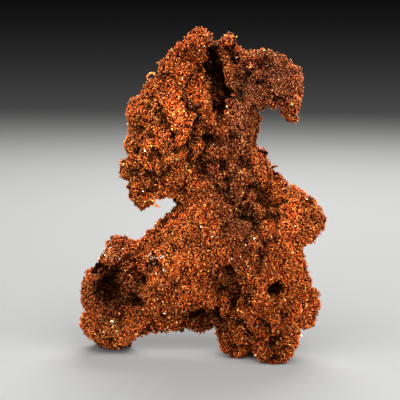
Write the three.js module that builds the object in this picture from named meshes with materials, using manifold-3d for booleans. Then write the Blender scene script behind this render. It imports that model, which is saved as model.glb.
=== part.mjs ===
// Native copper crystal cluster, grown as one piece: a craggy, lobed mass with a hooked arm,
// a hanging wing and spreading feet, set all over with small blocky crystals.
// Millimetres, +Z up. -Y is the show side. The origin is on the resting plane, under the middle.
import * as THREE from 'three';
import { ImprovedNoise } from 'three/addons/math/ImprovedNoise.js';
import { MeshSurfaceSampler } from 'three/addons/math/MeshSurfaceSampler.js';
import { MarchingCubes } from 'three/addons/objects/MarchingCubes.js';
import { mergeVertices } from 'three/addons/utils/BufferGeometryUtils.js';
import Module from 'manifold-3d';

const wasm = await Module();
wasm.setup();

// Lobes of the mass: centre, half-sizes, and lean in degrees, clockwise seen from the show side.
const LOBES = {
  // upper left: the crown and the wing that hangs from it
  crown: { at: [-0.6, -3, 91.8], radii: [5.9, 7, 6.4], lean: 0 },
  crownKnob: { at: [7.6, 0, 93.6], radii: [3, 4, 3.2], lean: 0 },
  shoulder: { at: [-6.9, -5, 85], radii: [7.7, 8.5, 8], lean: 35 },
  wingUpper: { at: [-12.2, -5.5, 71.8], radii: [10.4, 9.5, 8.6], lean: 20 },
  wingBump: { at: [-15.8, -5.5, 79.4], radii: [2.7, 3.4, 3], lean: 0 },
  wingMiddle: { at: [-15, -5, 60], radii: [9.6, 8.5, 8.5], lean: 0 },
  wingTip: { at: [-16.8, -4, 50.4], radii: [6, 6, 6.5], lean: -20 },
  wingKnob: { at: [-23.8, -5, 55.8], radii: [2.8, 3, 2.6], lean: 0 },
  breast: { at: [-4.4, -3.5, 67], radii: [7.4, 10, 17], lean: 8 },
  crownBack: { at: [3.5, 4, 85], radii: [6, 5.5, 8], lean: 0 },

  // upper right: the hooked arm
  hookStem: { at: [10.4, 2, 77], radii: [6, 8, 14], lean: -4 },
  hookTop: { at: [17.5, 2, 83.8], radii: [9, 7, 8], lean: 6 },
  hookHead: { at: [24.5, 1, 81], radii: [5.7, 6.5, 6.9], lean: 10 },
  beak: { at: [26.3, 2, 72], radii: [2.8, 3, 4.8], lean: 12 },

  // middle: the trunk and the right lobe
  trunk: { at: [5.4, 2.5, 55], radii: [12, 12, 18], lean: -10 },
  flank: { at: [14.8, 1, 53.6], radii: [7, 9, 9.6], lean: -26 },
  waist: { at: [8, 0, 36], radii: [17, 14, 14], lean: 10 },
  rightShoulder: { at: [23.6, -1, 44.5], radii: [10, 9, 7.6], lean: 36 },
  rightLobe: { at: [29, -1, 40.8], radii: [7.4, 8, 6.8], lean: 24 },
  rightWaist: { at: [25.8, -2, 31], radii: [4.2, 6.5, 4.6], lean: 0 },
  backHump: { at: [2, 9, 44], radii: [14, 9, 22], lean: -6 },

  // lower right: the leg that stands nearest the viewer, with a heel behind it
  rightLeg: { at: [19.6, -4, 21], radii: [11.6, 12, 15], lean: 0 },
  rightKnee: { at: [29.6, -3, 14.6], radii: [5.8, 7, 7.6], lean: 6 },
  rightToe: { at: [20.8, -11, 5.4], radii: [6.8, 7, 7.4], lean: 12 },
  middleToe: { at: [9, -4, 7.6], radii: [5.6, 6.4, 8.4], lean: -8 },
  heel: { at: [14.5, 11.5, 6.8], radii: [7, 6.6, 9], lean: 0 },
  heelRoot: { at: [15, 6.5, 17], radii: [9, 9, 10], lean: 0 },

  // lower left: the arched bridge and the foot at its end
  bridge: { at: [-8, 1, 23], radii: [15, 10, 12], lean: 3 },
  bridgeTop: { at: [-8.6, 0, 34.2], radii: [10, 9, 7.4], lean: -32 },
  archBrow: { at: [-8.5, 2, 13.2], radii: [14, 8.4, 7.2], lean: 0 },
  groin: { at: [4.4, 1, 17.2], radii: [7.8, 9, 9.6], lean: 0 },
  footUpper: { at: [-23.2, 4, 26.8], radii: [9, 9, 7.6], lean: -30 },
  footMain: { at: [-26.6, 6, 17.4], radii: [10.8, 11, 11], lean: -6 },
  footLip: { at: [-27.6, 3, 8.5], radii: [9.4, 9.4, 6.8], lean: 2 },
  footToe: { at: [-28, 11, 4.2], radii: [7, 7, 5.8], lean: 0 },
  footKnob: { at: [-26.6, 3, 34.4], radii: [2.4, 3, 2.8], lean: 0 },
};

// Hollows in the mass: the cleft beside the hook, the notch under the wing, the dark bowl in the foot,
// and the deeper pits and grooves.
const HOLLOWS = {
  crownCleft: { at: [3.8, -12, 80], radii: [2.6, 9, 10], lean: -2 },
  breastCleft: { at: [0.4, -15, 64], radii: [2.4, 6, 8], lean: 12 },
  flankGroove: { at: [14.4, -15.5, 48], radii: [2.6, 4.5, 13], lean: -16 },
  wingNotch: { at: [-11.2, 0, 45.2], radii: [4.6, 40, 2.7], lean: 20 },
  footBowl: { at: [-22.6, -7.5, 21.6], radii: [8.6, 9.5, 5.8], lean: -10 },
  legPit: { at: [22, -18, 22], radii: [2.8, 4.6, 4], lean: 0 },
};

// The skin is drawn on a cubic grid that holds the whole mass, turned so that its rows follow no side.
const CELL = 3.4;
const GRID_CELLS = 42;
const GRID_CENTRE = new THREE.Vector3(0, 0, 49);
const GRID_TURN = new THREE.Euler(0.5, 0.4, 0.6);
const MOST_TRIANGLES = 12000;
const BLEND = 3.2; // how tightly lobes keep their own form where they meet
const CRAGS = [{ size: 9, height: 0.34 }, { size: 4.5, height: 0.3 }]; // lumps, and the lumps on them

// Crystals of the cubic habit, grown on the skin
const CRYSTAL_COUNT = 178;
const CRYSTAL_LEAST = 1.1; // half-size of the smallest crystal
const CRYSTAL_MOST = 2.2;
const CRYSTAL_BIAS = 2; // small crystals outnumber large ones
const CUBE_SHARE = 0.5; // the rest are octahedra
const CUBE_SIDE = 1.5; // in half-sizes
const OCTAHEDRON_REACH = 1.3; // in half-sizes
const CRYSTAL_SUNK = 0.3; // share of the half-size below the skin
const CRYSTAL_SEED = 7;
const FLOOR_BLOCK = 200; // side of the block that trims the feet flat
const SAME_POINT = 1e-4; // corners closer than this are one

const COPPER = new THREE.MeshStandardMaterial({ color: 0x9a4f24, roughness: 0.38, metalness: 1 });

const FRONT_TO_BACK = new THREE.Vector3(0, 1, 0);
const noise = new ImprovedNoise();
const random = THREE.MathUtils.seededRandom;

// A closed geometry as a solid.
function solidOf(geometry) {
  const bare = geometry.clone();
  bare.deleteAttribute('normal');
  bare.deleteAttribute('uv');
  const merged = mergeVertices(bare, SAME_POINT);
  return new wasm.Manifold(new wasm.Mesh({
    numProp: 3,
    vertProperties: merged.attributes.position.array,
    triVerts: new Uint32Array(merged.index.array),
  }));
}

// A solid back as a geometry.
function geometryOf(solid) {
  const { vertProperties, triVerts } = solid.getMesh();
  const geometry = new THREE.BufferGeometry();
  geometry.setAttribute('position', new THREE.BufferAttribute(vertProperties, 3));
  geometry.setIndex(new THREE.BufferAttribute(triVerts, 1));
  geometry.computeVertexNormals();
  return geometry;
}

// The frame in which an ellipsoid is the unit sphere.
function unitFrame({ at, radii, lean }) {
  const turn = new THREE.Quaternion().setFromAxisAngle(FRONT_TO_BACK, THREE.MathUtils.degToRad(lean));
  return new THREE.Matrix4().compose(new THREE.Vector3(...at), turn, new THREE.Vector3(...radii)).invert();
}

const lobeFrames = Object.values(LOBES).map(unitFrame);
const hollowFrames = Object.values(HOLLOWS).map(unitFrame);

// How far a spot lies inside an ellipsoid: 1 at its centre, 0 on its skin, negative outside.
function within(frame, spot) {
  return 1 - spot.clone().applyMatrix4(frame).lengthSq();
}

// How far a spot lies inside the mass: lobes melt together, crags roughen them, hollows cut in.
function depth(spot) {
  const sum = lobeFrames.reduce((total, frame) => total + Math.exp(BLEND * within(frame, spot)), 0);
  const crag = CRAGS.reduce((total, { size, height }) => (
    total + height * noise.noise(spot.x / size, spot.y / size, spot.z / size)), 0);
  const hollow = Math.max(...hollowFrames.map((frame) => within(frame, spot)));
  return Math.min(Math.log(sum) / BLEND + crag, -hollow);
}

// The mass before its crystals: the skin where the depth is nothing.
function mass() {
  const grid = new MarchingCubes(GRID_CELLS, COPPER, false, false, MOST_TRIANGLES);
  grid.isolation = 0;
  const spot = new THREE.Vector3();
  for (let z = 0; z < GRID_CELLS; z += 1) {
    for (let y = 0; y < GRID_CELLS; y += 1) {
      for (let x = 0; x < GRID_CELLS; x += 1) {
        spot.set(x, y, z).subScalar(grid.halfsize).multiplyScalar(CELL);
        spot.applyEuler(GRID_TURN).add(GRID_CENTRE);
        grid.setCell(x, y, z, depth(spot));
      }
    }
  }
  grid.update();
  const skin = new THREE.BufferGeometry();
  skin.setAttribute('position', new THREE.BufferAttribute(grid.positionArray.slice(0, grid.count * 3), 3));
  const halfSide = CELL * grid.halfsize;
  const turn = new THREE.Quaternion().setFromEuler(GRID_TURN);
  const size = new THREE.Vector3(halfSide, halfSide, halfSide);
  return solidOf(skin.applyMatrix4(new THREE.Matrix4().compose(GRID_CENTRE, turn, size)));
}

// What lies under the floor, to trim the feet flat at z = 0.
function belowFloor() {
  const block = new THREE.BoxGeometry(FLOOR_BLOCK, FLOOR_BLOCK, FLOOR_BLOCK);
  return solidOf(block.translate(0, 0, -FLOOR_BLOCK / 2));
}

// One crystal, a cube or an octahedron, turned at random and partly sunk where it grew.
function crystal(sampler) {
  const spot = new THREE.Vector3();
  const outward = new THREE.Vector3();
  sampler.sample(spot, outward);
  const size = THREE.MathUtils.lerp(CRYSTAL_LEAST, CRYSTAL_MOST, random() ** CRYSTAL_BIAS);
  const geometry = random() < CUBE_SHARE
    ? new THREE.BoxGeometry(CUBE_SIDE, CUBE_SIDE, CUBE_SIDE)
    : new THREE.OctahedronGeometry(OCTAHEDRON_REACH);
  const turn = new THREE.Euler(random() * Math.PI, random() * Math.PI, random() * Math.PI);
  geometry.scale(size, size, size);
  geometry.applyQuaternion(new THREE.Quaternion().setFromEuler(turn));
  spot.addScaledVector(outward, -size * CRYSTAL_SUNK);
  return solidOf(geometry.translate(spot.x, spot.y, spot.z));
}

function cluster() {
  const bare = mass();
  random(CRYSTAL_SEED);
  const sampler = new MeshSurfaceSampler(new THREE.Mesh(geometryOf(bare)))
    .setRandomGenerator(() => random())
    .build();
  const crystals = Array.from({ length: CRYSTAL_COUNT }, () => crystal(sampler));
  const grown = wasm.Manifold.union([bare, ...crystals]).subtract(belowFloor());
  const mesh = new THREE.Mesh(geometryOf(grown), COPPER);
  mesh.name = 'copper_cluster';
  mesh.geometry.computeBoundingBox();
  mesh.geometry.boundingBox.getCenter(mesh.position).negate().setZ(0);
  return mesh;
}

const specimen = new THREE.Group();
specimen.add(cluster());

export default specimen;
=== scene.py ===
"""Looks of a native copper cluster: a dark craggy mass, overgrown with small crystals of the cubic habit.

Sizes are in millimetres, and MM turns them to metres. +Z is up, and the show side faces -Y.
"""

import logging
import math
from dataclasses import dataclass
from enum import Enum

import bmesh
import bpy
import numpy as np
from mathutils import Matrix, Vector, kdtree, noise


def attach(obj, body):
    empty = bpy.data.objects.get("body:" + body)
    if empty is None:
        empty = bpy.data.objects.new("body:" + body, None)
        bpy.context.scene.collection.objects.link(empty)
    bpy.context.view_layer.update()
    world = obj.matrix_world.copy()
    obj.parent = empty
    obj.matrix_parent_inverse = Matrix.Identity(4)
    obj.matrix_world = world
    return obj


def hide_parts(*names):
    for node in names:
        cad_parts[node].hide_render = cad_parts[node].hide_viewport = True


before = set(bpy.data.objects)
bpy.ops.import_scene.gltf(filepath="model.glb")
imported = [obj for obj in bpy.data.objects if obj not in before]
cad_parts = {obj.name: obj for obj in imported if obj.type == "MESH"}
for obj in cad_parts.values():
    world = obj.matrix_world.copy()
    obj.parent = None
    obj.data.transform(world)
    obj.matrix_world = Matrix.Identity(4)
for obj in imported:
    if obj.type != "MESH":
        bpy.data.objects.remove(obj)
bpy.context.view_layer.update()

MM = 0.001
SOLID = "copper_cluster"
BODY = "root"
MIX_FACTOR, MIX_A, MIX_B, MIX_RESULT = 0, 6, 7, 2  # the colour sockets of a Mix node
CUBE_SIDE, POINTED_RADIUS = 0.86, 0.66  # of a crystal about one unit across
log = logging.getLogger("copper_cluster")


def linear(hex_colour: str) -> tuple[float, float, float, float]:
    """Turns an sRGB colour to linear light.

    Args:
        hex_colour: The colour as "#rrggbb".

    Returns:
        Red, green and blue in linear light, and an alpha of 1.
    """
    shares = [int(hex_colour[start:start + 2], 16) / 255 for start in (1, 3, 5)]
    red, green, blue = (
        share / 12.92 if share <= 0.04045 else ((share + 0.055) / 1.055) ** 2.4 for share in shares
    )
    return red, green, blue, 1.0


def add_node(
    tree: bpy.types.NodeTree,
    kind: str,
    values: dict | None = None,
    links: dict | None = None,
    **settings: object,
) -> bpy.types.Node:
    """Adds a node with its settings and links.

    Args:
        tree: The node tree that it goes into.
        kind: Blender's name for the kind of node.
        values: Input socket to its fixed value.
        links: Input socket to the output that feeds it.
        **settings: The node's own properties.

    Returns:
        The new node.
    """
    node = tree.nodes.new(kind)
    for name, value in settings.items():
        setattr(node, name, value)
    for socket, value in (values or {}).items():
        node.inputs[socket].default_value = value
    for socket, output in (links or {}).items():
        tree.links.new(output, node.inputs[socket])
    return node


def add_material(name: str, values: dict) -> tuple[bpy.types.Material, bpy.types.Node]:
    """Adds a material.

    Args:
        name: The material's name.
        values: Input socket of its surface to a fixed value.

    Returns:
        The material, and the node of its surface.
    """
    made = bpy.data.materials.new(name)
    made.use_nodes = True
    surface = made.node_tree.nodes["Principled BSDF"]
    for socket, value in values.items():
        surface.inputs[socket].default_value = value
    return made, surface


def show(name: str, data: bpy.types.ID) -> bpy.types.Object:
    """Puts a mesh, a light or a camera in the scene as an object at the origin.

    Args:
        name: The object's name.
        data: The mesh, light or camera.

    Returns:
        The new object.
    """
    shown = bpy.data.objects.new(name, data)
    bpy.context.scene.collection.objects.link(shown)
    return shown


def read_rows(rows: bpy.types.bpy_prop_collection, field: str, width: int, kind: type) -> np.ndarray:
    """Reads one field of a mesh.

    Args:
        rows: The rows that have the field, such as the mesh's vertices.
        field: The field's name.
        width: How many numbers each row has.
        kind: The type of the numbers.

    Returns:
        The numbers, row by row.
    """
    found = np.empty(len(rows) * width, kind)
    rows.foreach_get(field, found)
    return found.reshape(-1, width)


class Tone(Enum):
    """Colours of native copper, from a deep tarnish to a pale face, with a near-white tone for painted
    highlights, a pale tone that is partly a painted highlight, and a dull tone of greyer tarnish.
    """

    NIGHT = "#5c1d08"
    DEEP = "#983a12"
    RED = "#c25a26"
    COPPER = "#d88442"
    BRIGHT = "#e2a455"
    PALE = "#f6dcb0"
    # near-white tone of painted highlights
    PAINTED_GLINT = "#ffdcb8"
    DULL = "#96705e"


class Habit(Enum):
    """Forms that copper crystals take."""

    CUBE = "cube"
    OCTAHEDRON = "octahedron"
    TWIN = "spinel twin"

    def shape(self) -> tuple[np.ndarray, list[list[int]]]:
        """Makes one crystal of this habit, about one unit across.

        Returns:
            Its corners, and the corner numbers of each face.
        """
        form = bmesh.new()
        if self is Habit.CUBE:
            bmesh.ops.create_cube(form, size=CUBE_SIDE)
        else:
            sides = 4 if self is Habit.OCTAHEDRON else 3
            bmesh.ops.create_uvsphere(form, u_segments=sides, v_segments=2, radius=POINTED_RADIUS)
        bmesh.ops.recalc_face_normals(form, faces=form.faces[:])
        form.verts.index_update()
        corners = np.array([corner.co for corner in form.verts])
        faces = [[corner.index for corner in face.verts] for face in form.faces]
        form.free()
        return corners, faces


@dataclass(frozen=True)
class OxideAndShadeCopper:
    """Native copper under a brown-black oxide, as grown, whose dark tone partly stands in for shade between
    the crystals and is painted darker still in its hollows: dull, so that hollows between crystals stay dark.
    """

    dark: str = "#120603"
    brown: str = "#371408"
    roughness: float = 0.62
    mottle: float = 2.5
    mottle_detail: float = 3.0
    hollow_layer: str = "hollow"

    def material(self) -> bpy.types.Material:
        """Makes the finish of the mass under the crystals, with painted shade that makes it darkest in its
        hollows.

        Returns:
            The material.
        """
        looks = {"Metallic": 1.0, "Roughness": self.roughness}
        made, surface = add_material("native_copper_oxide_and_painted_shade", looks)
        tree = made.node_tree
        place = add_node(tree, "ShaderNodeTexCoord")
        mottle = add_node(
            tree, "ShaderNodeTexNoise", {"Scale": 1 / (self.mottle * MM), "Detail": self.mottle_detail},
            {"Vector": place.outputs["Object"]},
        )
        mottled = add_node(
            tree, "ShaderNodeMix", {MIX_A: linear(self.dark), MIX_B: linear(self.brown)},
            {MIX_FACTOR: mottle.outputs["Fac"]}, data_type="RGBA",
        )
        # painted shade: toward the darkest tone, the deeper in a hollow
        hollow = add_node(tree, "ShaderNodeAttribute", attribute_name=self.hollow_layer)
        colour = add_node(
            tree, "ShaderNodeMix", {MIX_B: linear(self.dark)},
            {MIX_FACTOR: hollow.outputs["Fac"], MIX_A: mottled.outputs[MIX_RESULT]}, data_type="RGBA",
        )
        tree.links.new(colour.outputs[MIX_RESULT], surface.inputs["Base Color"])
        return made


@dataclass(frozen=True)
class CrystalCopper:
    """Faces of native copper crystals: metal with a thin tarnish and with painted light and shade in their
    tones, which mirrors the light face by face.
    """

    tone_layer: str = "tone"
    gloss_layer: str = "roughness"

    def material(self) -> bpy.types.Material:
        """Makes the finish of the crystals, which reads each crystal's own tone, painted light and shade
        included, and roughness.

        Returns:
            The material.
        """
        made, surface = add_material("native_copper_crystals", {"Metallic": 1.0})
        tree = made.node_tree
        tone = add_node(tree, "ShaderNodeAttribute", attribute_name=self.tone_layer)
        gloss = add_node(tree, "ShaderNodeAttribute", attribute_name=self.gloss_layer)
        tree.links.new(tone.outputs["Color"], surface.inputs["Base Color"])
        tree.links.new(gloss.outputs["Fac"], surface.inputs["Roughness"])
        return made


@dataclass(frozen=True)
class Carving:
    """A dark hollow of the show side: its place in X and Z, half-sizes, depth and clockwise lean in degrees.

    It fades where the skin turns from the show side, but a notch of the outline goes on round to the back. A
    negative depth is a swelling.
    """

    at: tuple[float, float]
    half: tuple[float, float]
    depth: float
    lean: float = 0.0
    round_to_back: bool = False
    fade: float = 1.6
    sideways_share: float = 0.3

    def cut(self, spot: Vector, outward: Vector) -> float:
        """How deep it cuts at a spot of the skin, in millimetres.

        Args:
            spot: The spot, in millimetres.
            outward: The skin's direction there.

        Returns:
            The depth.
        """
        turn = math.radians(self.lean)
        across, up = spot.x - self.at[0], spot.z - self.at[1]
        along = across * math.sin(turn) + up * math.cos(turn)
        aside = across * math.cos(turn) - up * math.sin(turn)
        reach = (aside / self.half[0]) ** 2 + (along / self.half[1]) ** 2
        facing = min(1.0, max(0.0, -self.fade * outward.y + self.sideways_share))
        return self.depth * (1.0 if self.round_to_back else facing) * math.exp(-reach**2)


CARVINGS = (
    # the cleft beside the crown, and on down the breast
    Carving((3.9, 87.0), (1.9, 6.4), 7.0, 2),
    Carving((4.6, 77.5), (1.4, 5.0), 5.0, -4),
    Carving((-1.6, 68.4), (1.3, 4.8), 5.0, 18),
    Carving((-2.8, 60.9), (1.1, 3.0), 3.6, 10),
    Carving((3.0, 66.0), (1.2, 2.4), 3.2, -12),
    # notches of the outline
    Carving((4.4, 96.8), (1.3, 1.6), 2.2, round_to_back=True),
    Carving((11.6, 95.2), (1.4, 1.8), 2.0, round_to_back=True),
    Carving((-14.8, 86.2), (2.2, 1.8), 2.0, round_to_back=True),
    Carving((-19.2, 79.8), (1.5, 1.5), 1.4, round_to_back=True),
    Carving((-23.8, 61.2), (1.6, 1.5), 1.8, round_to_back=True),
    Carving((23.8, 56.2), (2.6, 1.8), 1.3, round_to_back=True),
    # the beak, and the arm's inner edge beside it
    Carving((26.8, 74.0), (3.2, 4.0), -1.0, round_to_back=True),
    Carving((20.0, 75.6), (3.0, 2.0), -0.8, round_to_back=True),
    # gaps between the lumps of the wing
    Carving((-14.9, 77.5), (1.0, 1.8), 2.8, 20),
    Carving((-18.3, 68.6), (0.9, 2.0), 2.8, 65),
    Carving((-19.3, 63.4), (1.2, 1.1), 2.6),
    Carving((-22.2, 57.0), (1.0, 1.0), 2.4),
    Carving((-15.4, 55.6), (1.4, 2.4), 3.0, -25),
    Carving((-9.4, 57.0), (0.9, 2.2), 2.8, -20),
    Carving((-5.3, 49.3), (1.4, 1.0), 2.6),
    # grooves down the hooked arm's stem and the trunk
    Carving((12.7, 84.8), (0.8, 2.0), 2.4, 4),
    Carving((16.6, 82.0), (1.1, 1.1), 2.4),
    Carving((10.7, 67.0), (0.9, 1.1), 2.4),
    Carving((13.7, 61.0), (0.8, 4.4), 2.4, -4),
    Carving((0.8, 56.6), (1.3, 1.5), 2.8),
    Carving((6.2, 57.4), (1.3, 1.5), 2.8),
    Carving((7.4, 52.6), (1.1, 2.8), 3.0, -8),
    # brow and crease under the hooked arm
    Carving((21.7, 77.2), (3.4, 1.2), 1.8, 15),
    Carving((25.1, 74.8), (3.6, 0.7), 1.8, 12),
    # groove and pits of the right leg
    Carving((16.9, 31.4), (0.9, 4.0), 2.2),
    Carving((21.6, 22.2), (1.8, 2.6), 4.4, 18),
    Carving((7.7, 26.0), (1.3, 2.4), 2.2, -20),
    # bowl of the left foot
    Carving((-27.2, 20.2), (5.6, 4.2), 2.0, 10),
    Carving((-19.8, 16.4), (2.4, 1.8), 2.4),
    Carving((-17.9, 22.4), (0.9, 1.5), 1.8),
    # under the bridge
    Carving((0.0, 12.2), (6.0, 2.6), 2.6),
)


@dataclass(frozen=True)
class Pitting:
    """A stretch of the cluster with deep, upright pits between ridges: its middle and half-sizes."""

    at: tuple[float, float, float]
    half: tuple[float, float, float]

    def share(self, spot: Vector) -> float:
        """How far a spot lies inside it, from 1 at its middle to 0 far away."""
        return math.exp(-sum(((spot[axis] - self.at[axis]) / self.half[axis]) ** 2 for axis in range(3)))


PITTINGS = (
    Pitting((4.0, -12.0, 62.0), (10.0, 14.0, 12.0)),   # breast and trunk
    Pitting((12.0, -8.0, 80.0), (6.0, 12.0, 10.0)),    # stem of the hooked arm
    Pitting((-15.0, -10.0, 55.0), (8.0, 12.0, 6.0)),   # foot of the wing
    Pitting((-27.0, -6.0, 21.0), (8.0, 12.0, 7.0)),    # bowl of the left foot
)


@dataclass
class CopperMass:
    """The mass that the crystals grow on, cut into from the solid's skin.

    Lumps, knobs and pits are cells of a size, with gaps of a half-width and a depth between them. An upright
    share below 1 makes cells taller than wide. Some regions have shallower gaps between their lumps.
    """

    name: str = "copper_mass"
    seed: int = 3
    merge: float = 0.001
    voxel: float = 0.5
    rounding: int = 8
    rounding_pair: tuple[float, float] = (0.5, -0.52)  # in and out again, so that thin tips keep their size
    clearance: float = 0.15
    upright: float = 0.6
    lump: float = 5.5
    lump_gap: float = 0.8
    lump_depth: float = 2.8
    knob: float = 2.4
    knob_gap: float = 0.45
    knob_depth: float = 1.1
    pit: float = 3.2
    pit_upright: float = 0.35
    pit_gap: float = 0.65
    pit_depth: float = 2.6
    warp: float = 0.9  # of cells, in their own sizes
    warp_size: float = 1.6
    region: float = 17.0
    region_shift: tuple[float, float, float] = (3.0, 7.0, 5.0)
    region_mean: float = 0.65
    region_swing: float = 1.1
    swell: float = 12.0
    swell_height: float = 0.8
    ragged: float = 1.2
    ragged_size: float = 2.5
    hollow_full: float = 3.0
    hollow_power: float = 1.5
    finish: OxideAndShadeCopper = OxideAndShadeCopper()

    def build(self) -> bpy.types.Object:
        """Makes the mass from a copy of the solid.

        Returns:
            The mass's object.
        """
        noise.seed_set(self.seed)
        piece = show(self.name, self._even_copy())
        form = bmesh.new()
        form.from_mesh(piece.data)
        for factor in self.rounding_pair * self.rounding:
            bmesh.ops.smooth_vert(
                form, verts=form.verts[:], factor=factor, use_axis_x=True, use_axis_y=True, use_axis_z=True,
            )
        form.normal_update()
        hollow = form.verts.layers.float.new(self.finish.hollow_layer)
        heights = [self._height(vert.co / MM, vert.normal) for vert in form.verts]
        outward = [vert.normal.copy() for vert in form.verts]
        for vert, height, normal in zip(form.verts, heights, outward):
            vert.co += normal * height * MM
            vert.co.z = max(vert.co.z, self.clearance * MM)
            vert[hollow] = min(1.0, max(0.0, -height / self.hollow_full) ** self.hollow_power)
        form.to_mesh(piece.data)
        form.free()
        return piece

    def _even_copy(self) -> bpy.types.Mesh:
        """A copy of the solid's mesh, merged and remeshed to even faces."""
        copy = show("even_copy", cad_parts[SOLID].data.copy())
        copy.data.materials.clear()
        form = bmesh.new()
        form.from_mesh(copy.data)
        bmesh.ops.remove_doubles(form, verts=form.verts[:], dist=self.merge * MM)
        form.to_mesh(copy.data)
        form.free()
        remesh = copy.modifiers.new("even", "REMESH")
        remesh.mode = "VOXEL"
        remesh.voxel_size = self.voxel * MM
        seen = copy.evaluated_get(bpy.context.evaluated_depsgraph_get())
        even = bpy.data.meshes.new_from_object(seen)
        even.name = self.name
        bpy.data.objects.remove(copy)
        return even

    def _gap(self, spot: Vector, size: float, width: float) -> float:
        """How near a spot is to the gap between two cells.

        Args:
            spot: The spot, in millimetres.
            size: The cells' size.
            width: The gap's half-width.

        Returns:
            1 in the gap, and 0 on the cells.
        """
        warp = noise.noise_vector(spot / (self.warp_size * size)) * self.warp
        near, next_near = noise.voronoi(spot / size + warp)[0][:2]
        return math.exp(-((next_near - near) * size / width) ** 2)

    def _height(self, spot: Vector, outward: Vector) -> float:
        """How far the skin moves out at a spot, in millimetres.

        Args:
            spot: The spot, in millimetres.
            outward: The skin's direction there.

        Returns:
            The height, negative inwards.
        """
        tall = Vector((spot.x, spot.y, spot.z * self.upright))
        region = noise.noise(spot / self.region + Vector(self.region_shift))
        share = min(1.0, max(0.0, self.region_mean + self.region_swing * region))
        swell = self.swell_height * noise.noise(tall / self.swell)
        lumps = self.lump_depth * share * self._gap(tall, self.lump, self.lump_gap)
        knobs = self.knob_depth * self._gap(tall, self.knob, self.knob_gap)
        pitted = max(stretch.share(spot) for stretch in PITTINGS)
        ridged = Vector((spot.x, spot.y, spot.z * self.pit_upright))
        pits = self.pit_depth * pitted * self._gap(ridged, self.pit, self.pit_gap)
        edge = spot + noise.noise_vector(spot / self.ragged_size) * self.ragged
        carved = sum(carving.cut(edge, outward) for carving in CARVINGS)
        return swell - lumps - knobs - pits - carved

    def dress(self, piece: bpy.types.Object) -> None:
        """Gives the mass its finish, in place of the solid."""
        piece.data.materials.append(self.finish.material())
        piece.data.shade_smooth()
        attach(piece, BODY)
        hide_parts(SOLID)


@dataclass(frozen=True)
class Ground:
    """The skin that crystals grow on: its triangles, and the place, direction and hollow at each corner."""

    triangles: np.ndarray
    places: np.ndarray
    normals: np.ndarray
    hollows: np.ndarray

    @classmethod
    def of(cls, mesh: bpy.types.Mesh, hollow_layer: str) -> "Ground":
        """Reads a mesh.

        Args:
            mesh: The mesh.
            hollow_layer: The name of its layer of hollows.

        Returns:
            The ground, in millimetres.
        """
        mesh.calc_loop_triangles()
        triangles = read_rows(mesh.loop_triangles, "vertices", 3, np.int32)
        places = read_rows(mesh.vertices, "co", 3, np.float32) / MM
        normals = read_rows(mesh.vertex_normals, "vector", 3, np.float32)
        hollows = read_rows(mesh.attributes[hollow_layer].data, "value", 1, np.float32)[:, 0]
        return cls(triangles, places, normals, hollows)

    def scatter(
        self, spacing: float, crowding: int, rng: np.random.Generator,
    ) -> tuple[np.ndarray, np.ndarray, np.ndarray]:
        """Spreads spots over the ground, no two closer than a spacing.

        Args:
            spacing: The least distance, in millimetres.
            crowding: How many spots are tried for each square of that side.
            rng: The source of chance.

        Returns:
            The spots, the skin's direction at each, and how deep in a hollow it lies.
        """
        a, b, c = (self.places[self.triangles[:, side]] for side in range(3))
        areas = np.linalg.norm(np.cross(b - a, c - a), axis=1) / 2
        tries = int(crowding * areas.sum() / spacing**2)
        picked = self.triangles[rng.choice(len(areas), tries, p=areas / areas.sum())]
        weights = rng.dirichlet((1.0, 1.0, 1.0), tries)
        spots = np.einsum("ns,nsk->nk", weights, self.places[picked])
        outward = np.einsum("ns,nsk->nk", weights, self.normals[picked])
        outward /= np.linalg.norm(outward, axis=1, keepdims=True)
        hollows = (weights * self.hollows[picked]).sum(axis=1)
        tree = kdtree.KDTree(tries)
        for number, spot in enumerate(spots):
            tree.insert(spot, number)
        tree.balance()
        kept = np.zeros(tries, bool)
        taken = np.zeros(tries, bool)
        for number, spot in enumerate(spots):
            if taken[number]:
                continue
            kept[number] = True
            for _, other, _ in tree.find_range(spot, spacing):
                taken[other] = True
        return spots[kept], outward[kept], hollows[kept]


@dataclass(frozen=True)
class Patch:
    """A stretch of the cluster with painted light and shade of its own, and a tarnish of its own.

    It has a middle, half-sizes, a painted brightness, above 1 for painted light and below 1 for painted
    shade, and a share of another tone: a greyer tarnish toward the dull tone, a painted highlight toward the
    bright one.
    """

    at: tuple[float, float, float]
    half: tuple[float, float, float]
    bright: float
    mix: float = 0.0
    tone: Tone = Tone.DULL

    def share(self, spots: np.ndarray) -> np.ndarray:
        """How far spots lie inside it, from 1 at its middle to 0 far away."""
        return np.exp(-(((spots - np.array(self.at)) / np.array(self.half)) ** 2).sum(axis=1))


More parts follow.
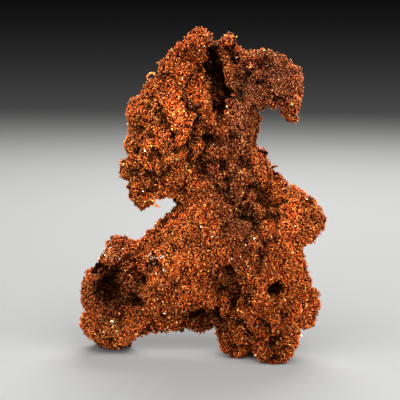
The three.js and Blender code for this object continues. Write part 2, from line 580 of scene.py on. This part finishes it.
# painted light on the wing, the right lobe, the bridge and the left foot's lip and rim; painted shade in the
# cleft, the valley, the bowl, under the bridge and on the other stretches below 1
PATCHES = (
    Patch((-14.0, -9.0, 64.0), (12.0, 13.0, 20.0), 1.5, 0.14, Tone.BRIGHT),  # wing
    Patch((4.0, -8.0, 85.0), (2.4, 10.0, 9.0), 0.8),                         # cleft
    Patch((22.0, -4.0, 83.0), (11.0, 10.0, 10.0), 0.85, 0.35),               # hooked arm
    Patch((12.0, -6.0, 75.0), (5.0, 10.0, 13.0), 0.96, 0.3),                 # its stem
    Patch((7.0, -10.0, 57.0), (8.0, 10.0, 12.0), 0.95, 0.15),                # trunk
    Patch((12.0, -12.0, 42.0), (4.5, 10.0, 13.0), 0.75, 0.25),               # valley beside the right lobe
    Patch((29.0, -6.0, 42.0), (10.0, 12.0, 10.0), 1.3, 0.1, Tone.BRIGHT),    # right lobe
    Patch((-9.0, -8.0, 33.0), (8.0, 10.0, 8.0), 1.35, 0.18, Tone.BRIGHT),    # bridge
    Patch((-27.0, -5.0, 21.0), (9.0, 10.0, 7.0), 0.75, 0.25),                # bowl of the left foot
    Patch((-26.0, -6.0, 7.0), (8.0, 8.0, 4.5), 1.3, 0.2, Tone.BRIGHT),       # its lip
    Patch((-27.5, -6.0, 32.0), (4.0, 8.0, 4.0), 1.15, 0.4),                  # its rim
    Patch((-3.0, -6.0, 10.5), (12.0, 12.0, 4.5), 0.52),                      # under the bridge
    Patch((14.0, -10.0, 20.0), (18.0, 14.0, 15.0), 0.87),                    # right leg
    Patch((4.0, -12.0, 38.0), (10.0, 12.0, 9.0), 0.85),                      # belly
)


@dataclass(frozen=True)
class Sparkle:
    """A few faces together on the show side, with a near-white tone as painted highlights and a low
    roughness: their middle in X and Z, and half-sizes.
    """

    at: tuple[float, float]
    half: tuple[float, float]

    def share(self, spots: np.ndarray) -> np.ndarray:
        """How far spots lie inside it, from 1 at its middle to 0 far away."""
        reach = (((spots[:, [0, 2]] - np.array(self.at)) / np.array(self.half)) ** 2).sum(axis=1)
        return np.where(spots[:, 1] < 0, np.exp(-reach**2), 0.0)


# painted highlights
SPARKLES = (
    # wiry streak on the bridge
    Sparkle((-15.6, 30.8), (0.55, 1.4)),
    Sparkle((-13.8, 30.0), (1.8, 0.6)),
    Sparkle((-11.6, 30.8), (1.2, 0.5)),
    Sparkle((-14.4, 28.4), (0.8, 0.4)),
    Sparkle((-11.2, 26.6), (0.8, 0.4)),
    # flakes on the rim of the left foot
    Sparkle((-27.2, 32.0), (0.4, 1.3)),
    Sparkle((-28.6, 29.6), (0.4, 1.0)),
    Sparkle((-24.8, 29.6), (0.7, 0.4)),
    # single flakes
    Sparkle((0.4, 50.4), (0.5, 0.6)),
    Sparkle((-26.7, 10.6), (0.6, 0.7)),
    Sparkle((-19.2, 71.4), (0.35, 0.4)),
    Sparkle((-3.4, 76.8), (0.4, 0.4)),
    Sparkle((12.2, 78.8), (0.45, 0.45)),
    Sparkle((8.6, 31.0), (0.4, 0.4)),
)


@dataclass(frozen=True)
class Twig:
    """A thin twig of crystals on the outline: its root, first direction, length and curl to +X in degrees."""

    root: tuple[float, float, float]
    way: tuple[float, float, float]
    length: float
    curl: float = 0.0

    def spots(self, step: float) -> list[tuple[float, ...]]:
        """Where its crystals sit, a step apart."""
        count = int(self.length / step)
        turn = Matrix.Rotation(math.radians(self.curl) / count, 3, "Y")
        spot, way = Vector(self.root), Vector(self.way).normalized()
        found = []
        for _ in range(count):
            found.append(tuple(spot))
            spot = spot + way * step
            way = turn @ way
        return found


TWIGS = (
    Twig((-15.8, -5.5, 83.0), (-0.3, 0.0, 1.0), 4.6, 190),   # curl on top of the wing
    Twig((-16.2, -5.0, 46.2), (1.0, 0.0, 0.0), 4.2, 30),     # below the wing
)


@dataclass(frozen=True)
class Growth:
    """One generation of crystals, in millimetres: its spacing, forms, tones and gloss.

    A crystal is as long as its width times its stretch, and rises so far from the skin. Crystals grow one on
    another in chains of so many links. The deepest hollows go without a share of them.
    """

    name: str
    spacing: float
    width: tuple[float, float]
    stretch: tuple[float, float]
    rise: tuple[float, float]
    habits: dict[Habit, float]
    tones: dict[Tone, float]
    roughness: tuple[float, float]
    bare: float = 0.0
    links: int = 1
    bend: float = 0.6


GROWTHS = (
    Growth(
        "undergrowth", 0.62, (0.32, 0.52), (1.0, 1.5), (-0.1, 0.08),
        {Habit.TWIN: 0.9, Habit.CUBE: 0.1},
        {Tone.NIGHT: 0.35, Tone.DEEP: 0.45, Tone.RED: 0.2},
        (0.6, 0.8), bare=0.15,
    ),
    Growth(
        "growth", 0.45, (0.23, 0.42), (1.2, 2.4), (0.05, 0.45),
        {Habit.TWIN: 0.45, Habit.OCTAHEDRON: 0.4, Habit.CUBE: 0.15},
        {Tone.DEEP: 0.08, Tone.RED: 0.45, Tone.COPPER: 0.43, Tone.BRIGHT: 0.04},
        (0.65, 0.9), bare=0.5,
    ),
    # small glossy crystals, whose pale tones are partly painted highlights
    Growth(
        "glints", 1.7, (0.2, 0.32), (1.2, 2.6), (0.3, 0.55),
        {Habit.TWIN: 0.5, Habit.CUBE: 0.5},
        {Tone.COPPER: 0.3, Tone.BRIGHT: 0.5, Tone.PALE: 0.2},
        (0.2, 0.4), bare=1.0,
    ),
    Growth(
        "sprigs", 3.4, (0.38, 0.55), (0.9, 1.5), (0.2, 0.4),
        {Habit.OCTAHEDRON: 0.7, Habit.CUBE: 0.3},
        {Tone.RED: 0.4, Tone.COPPER: 0.4, Tone.BRIGHT: 0.2},
        (0.5, 0.75), bare=1.0, links=2,
    ),
)
TWIG_GROWTH = Growth(
    "twigs", 0.3, (0.45, 0.65), (1.0, 1.6), (0.0, 0.0),
    {Habit.OCTAHEDRON: 0.7, Habit.CUBE: 0.3},
    {Tone.RED: 0.4, Tone.COPPER: 0.4, Tone.BRIGHT: 0.2},
    (0.5, 0.75),
)


@dataclass(frozen=True)
class Crystals:
    """Crystals of one habit: the corner numbers of each face, and each crystal's corners, tone and gloss."""

    faces: list[list[int]]
    corners: np.ndarray
    tones: np.ndarray
    gloss: np.ndarray

    def between(self, low: float, high: float) -> "Crystals":
        """Those whose middles lie between two heights."""
        middles = self.corners[:, :, 2].mean(axis=1)
        inside = (middles >= low) & (middles < high)
        return Crystals(self.faces, self.corners[inside], self.tones[inside], self.gloss[inside])


@dataclass
class CrystalCoat:
    """All the crystals on the mass, joined in bands from the feet to the crown."""

    bands: tuple[tuple[str, float], ...] = (
        ("crystals_of_feet", 15.0), ("crystals_of_legs", 31.0), ("crystals_of_waist", 48.0),
        ("crystals_of_shoulders", 70.0), ("crystals_of_crown", 200.0),
    )
    seed: int = 11
    crowding: int = 6
    hollow_shade: float = 0.85
    hollow_dulling: float = 0.2
    glint_roughness: float = 0.35
    mottles: tuple[tuple[float, float], ...] = ((12.0, 0.4), (4.0, 0.25))
    finish: CrystalCopper = CrystalCopper()

    def build(self, ground: Ground) -> list[bpy.types.Object]:
        """Grows the crystals on the mass.

        Args:
            ground: The mass's skin.

        Returns:
            The crystals' objects, one for each band.
        """
        rng = np.random.default_rng(self.seed)
        grown = [crystals for growth in GROWTHS for crystals in self._grow(growth, ground, rng)]
        grown += self._sprout(rng)
        material = self.finish.material()
        pieces = []
        floor = 0.0
        for name, top in self.bands:
            piece = show(name, self._join(name, [crystals.between(floor, top) for crystals in grown]))
            piece.data.materials.append(material)
            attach(piece, BODY)
            pieces.append(piece)
            floor = top
        return pieces

    def _grow(self, growth: Growth, ground: Ground, rng: np.random.Generator) -> list[Crystals]:
        """Grows one generation of crystals.

        Args:
            growth: The generation.
            ground: The skin that it grows on.
            rng: The source of chance.

        Returns:
            The crystals, by habit and link.
        """
        spots, outward, hollows = ground.scatter(growth.spacing, self.crowding, rng)
        kept = rng.random(len(spots)) >= growth.bare * hollows
        spots, outward, hollows = spots[kept], outward[kept], hollows[kept]
        count = len(spots)
        spots = spots + outward * rng.uniform(*growth.rise, (count, 1))
        heading = outward + growth.bend * rng.normal(size=(count, 3))
        grown = []
        for _ in range(growth.links):
            axes = heading if growth.links > 1 else rng.normal(size=(count, 3))
            crystals, spots, ways = self._set(growth, spots, axes, hollows, rng)
            grown += crystals
            heading = ways + growth.bend * rng.normal(size=(count, 3))
        log.info("%s: %d spots", growth.name, count)
        return grown

    def _sprout(self, rng: np.random.Generator) -> list[Crystals]:
        """Grows the twigs.

        Args:
            rng: The source of chance.

        Returns:
            Their crystals, by habit.
        """
        spots = np.array([spot for twig in TWIGS for spot in twig.spots(TWIG_GROWTH.spacing)])
        axes = rng.normal(size=spots.shape)
        return self._set(TWIG_GROWTH, spots, axes, np.zeros(len(spots)), rng)[0]

    def _set(
        self,
        growth: Growth,
        spots: np.ndarray,
        axes: np.ndarray,
        hollows: np.ndarray,
        rng: np.random.Generator,
    ) -> tuple[list[Crystals], np.ndarray, np.ndarray]:
        """Sets one crystal at each spot.

        Args:
            growth: The generation that they belong to.
            spots: The spots, in millimetres.
            axes: The direction of each crystal's length.
            hollows: How deep in a hollow each lies.
            rng: The source of chance.

        Returns:
            The crystals by habit, where the next link of each would grow, and their directions.
        """
        count = len(spots)
        width = rng.uniform(*growth.width, count)
        length = width * rng.uniform(*growth.stretch, count)
        frames = self._frames(axes, rng.normal(size=(count, 3)))
        palette = np.array([linear(tone.value) for tone in growth.tones])
        tones = palette[rng.choice(len(palette), count, p=list(growth.tones.values()))]
        tones = self._paint_light_and_tarnish(spots, hollows, tones)
        gloss = rng.uniform(*growth.roughness, count) + self.hollow_dulling * hollows
        # painted highlights: a near-white tone and a low roughness where the sparkles lie
        painted_glint = rng.random(count) < np.max([sparkle.share(spots) for sparkle in SPARKLES], axis=0)
        tones[painted_glint] = linear(Tone.PAINTED_GLINT.value)
        gloss[painted_glint] = self.glint_roughness
        sizes = np.stack([width, width, length], axis=1)
        habits = rng.choice(len(growth.habits), count, p=list(growth.habits.values()))
        crystals = []
        for number, habit in enumerate(growth.habits):
            chosen = habits == number
            corners, faces = habit.shape()
            local = corners[None] * sizes[chosen][:, None]
            placed = np.einsum("nij,nvj->nvi", frames[chosen], local) + spots[chosen][:, None]
            placed[:, :, 2] += np.maximum(0.0, -placed[:, :, 2].min(axis=1))[:, None]
            crystals.append(Crystals(faces, placed, tones[chosen], gloss[chosen]))
        return crystals, spots + frames[:, :, 2] * length[:, None], frames[:, :, 2]

    def _paint_light_and_tarnish(self, spots: np.ndarray, hollows: np.ndarray, tones: np.ndarray) -> np.ndarray:
        """Paints shade into tones in the hollows, varies them at random, paints each patch's light and shade,
        and mixes in each patch's tone.

        Args:
            spots: Where the crystals are, in millimetres.
            hollows: How deep in a hollow each lies.
            tones: Their tones before any painted light and shade.

        Returns:
            Their tones, with painted light and shade and mixed tarnish.
        """
        # painted shade: the deeper a crystal lies in a hollow, the darker it is
        shade = 1 - self.hollow_shade * hollows
        for size, share in self.mottles:
            shade *= 1 + share * np.array([noise.noise(Vector(spot) / size) for spot in spots])
        mixed = tones.copy()
        # each patch's painted light and shade, and its mixed tone
        for patch in PATCHES:
            inside = patch.share(spots)
            shade *= 1 + (patch.bright - 1) * inside
            mixed += (patch.mix * inside)[:, None] * (np.array(linear(patch.tone.value)) - mixed)
        mixed[:, :3] = np.clip(mixed[:, :3] * shade[:, None], 0, 1)
        return mixed

    @staticmethod
    def _frames(axes: np.ndarray, others: np.ndarray) -> np.ndarray:
        """Makes turned frames.

        Args:
            axes: The direction of each frame's third axis.
            others: Any other direction for each.

        Returns:
            Rotation matrices, whose columns are the frames' axes.
        """
        third = axes / np.linalg.norm(axes, axis=1, keepdims=True)
        first = np.cross(others, third)
        first /= np.linalg.norm(first, axis=1, keepdims=True)
        return np.stack([first, np.cross(third, first), third], axis=2)

    def _join(self, name: str, grown: list[Crystals]) -> bpy.types.Mesh:
        """Joins crystals in one mesh.

        Args:
            name: The mesh's name.
            grown: The crystals.

        Returns:
            The mesh, with a tone and a roughness on every corner.
        """
        corners, loops, lengths, tones, gloss = [], [], [], [], []
        start = 0
        for crystals in grown:
            count, points = crystals.corners.shape[:2]
            flat = np.concatenate([np.array(face) for face in crystals.faces])
            base = start + points * np.arange(count)
            loops.append((base[:, None] + flat[None]).ravel())
            lengths.append(np.tile([len(face) for face in crystals.faces], count))
            corners.append(crystals.corners.reshape(-1, 3))
            tones.append(np.repeat(crystals.tones, points, axis=0))
            gloss.append(np.repeat(crystals.gloss, points))
            start += count * points
        corners, loops, lengths = (np.concatenate(rows) for rows in (corners, loops, lengths))
        mesh = bpy.data.meshes.new(name)
        mesh.vertices.add(len(corners))
        mesh.vertices.foreach_set("co", (corners * MM).astype(np.float32).ravel())
        mesh.loops.add(len(loops))
        mesh.loops.foreach_set("vertex_index", loops.astype(np.int32))
        mesh.polygons.add(len(lengths))
        starts = np.concatenate([[0], np.cumsum(lengths)[:-1]])
        mesh.polygons.foreach_set("loop_start", starts.astype(np.int32))
        mesh.update(calc_edges=True)
        mesh.shade_flat()
        tone = mesh.attributes.new(self.finish.tone_layer, "FLOAT_COLOR", "POINT")
        tone.data.foreach_set("color", np.concatenate(tones).astype(np.float32).ravel())
        rough = mesh.attributes.new(self.finish.gloss_layer, "FLOAT", "POINT")
        rough.data.foreach_set("value", np.concatenate(gloss).astype(np.float32))
        mesh.validate()
        return mesh


@dataclass(frozen=True)
class Lamp:
    """A soft studio light: its place and side in millimetres, power in watts and colour."""

    name: str
    at: tuple[float, float, float]
    side: float
    power: float
    colour: str


@dataclass
class Studio:
    """A plain pale floor, soft lights and the camera."""

    floor_side: float = 12000.0
    floor_colour: str = "#737372"
    floor_roughness: float = 0.9
    world_colour: str = "#0f1011"
    aim: tuple[float, float, float] = (-0.55, 0.0, 46.7)
    elevation: float = 8.0
    distance: float = 550.0
    frame_width: float = 119.0
    sensor: float = 36.0
    nearest: float = 10.0
    farthest: float = 50000.0
    lamps: tuple[Lamp, ...] = (
        Lamp("key", (300, -420, 420), 640, 9.0, "#ffffff"),
        Lamp("fill", (-340, -380, 400), 640, 7.4, "#ffffff"),
        Lamp("front", (0, -540, 330), 400, 3.4, "#ffffff"),
        Lamp("back", (60, 420, 420), 420, 7.0, "#ffffff"),
    )

    def build(self) -> None:
        """Makes the floor, the lights, the surroundings and the camera."""
        self._floor()
        for lamp in self.lamps:
            self._light(lamp)
        world = bpy.data.worlds.new("studio")
        world.use_nodes = True
        world.node_tree.nodes["Background"].inputs["Color"].default_value = linear(self.world_colour)
        bpy.context.scene.world = world
        bpy.context.scene.view_settings.view_transform = "Standard"
        self._camera()

    def _floor(self) -> None:
        """Makes the floor."""
        form = bmesh.new()
        bmesh.ops.create_grid(form, x_segments=1, y_segments=1, size=self.floor_side / 2 * MM)
        mesh = bpy.data.meshes.new("floor")
        form.to_mesh(mesh)
        form.free()
        floor = show("floor", mesh)
        looks = {"Base Color": linear(self.floor_colour), "Roughness": self.floor_roughness}
        mesh.materials.append(add_material("pale_floor", looks)[0])

    @staticmethod
    def _turned(place: Vector, way: Vector) -> Matrix:
        """Where a lamp or the camera hangs, and how it is turned.

        Args:
            place: Its place, in metres.
            way: The direction that it looks in.

        Returns:
            Its matrix.
        """
        return Matrix.Translation(place) @ way.to_track_quat("-Z", "Y").to_matrix().to_4x4()

    def _light(self, lamp: Lamp) -> None:
        """Hangs one soft light, turned to the middle of the cluster."""
        data = bpy.data.lights.new(lamp.name, "AREA")
        data.size = lamp.side * MM
        data.energy = lamp.power
        data.color = linear(lamp.colour)[:3]
        place, aim = Vector(lamp.at) * MM, Vector(self.aim) * MM
        show(lamp.name, data).matrix_world = self._turned(place, aim - place)

    def _camera(self) -> None:
        """Sets the camera to the viewing angle."""
        data = bpy.data.cameras.new("camera")
        data.sensor_width = self.sensor
        data.lens = self.sensor * self.distance / self.frame_width
        data.clip_start = self.nearest * MM
        data.clip_end = self.farthest * MM
        camera = show("camera", data)
        tilt = math.radians(self.elevation)
        back = Vector((0, -math.cos(tilt), math.sin(tilt)))
        place = (Vector(self.aim) + back * self.distance) * MM
        camera.matrix_world = self._turned(place, -back)
        bpy.context.scene.camera = camera


def main() -> None:
    """Builds the cluster's looks in order, and reports each piece."""
    logging.basicConfig(level=logging.INFO, format="%(name)s: %(message)s")
    mass = CopperMass()
    piece = mass.build()
    mass.dress(piece)
    log.info("%s: %d faces", piece.name, len(piece.data.polygons))
    for band in CrystalCoat().build(Ground.of(piece.data, mass.finish.hollow_layer)):
        band.data.calc_loop_triangles()
        log.info("%s: %d triangles", band.name, len(band.data.loop_triangles))
    Studio().build()


if __name__ == "__main__":
    main()
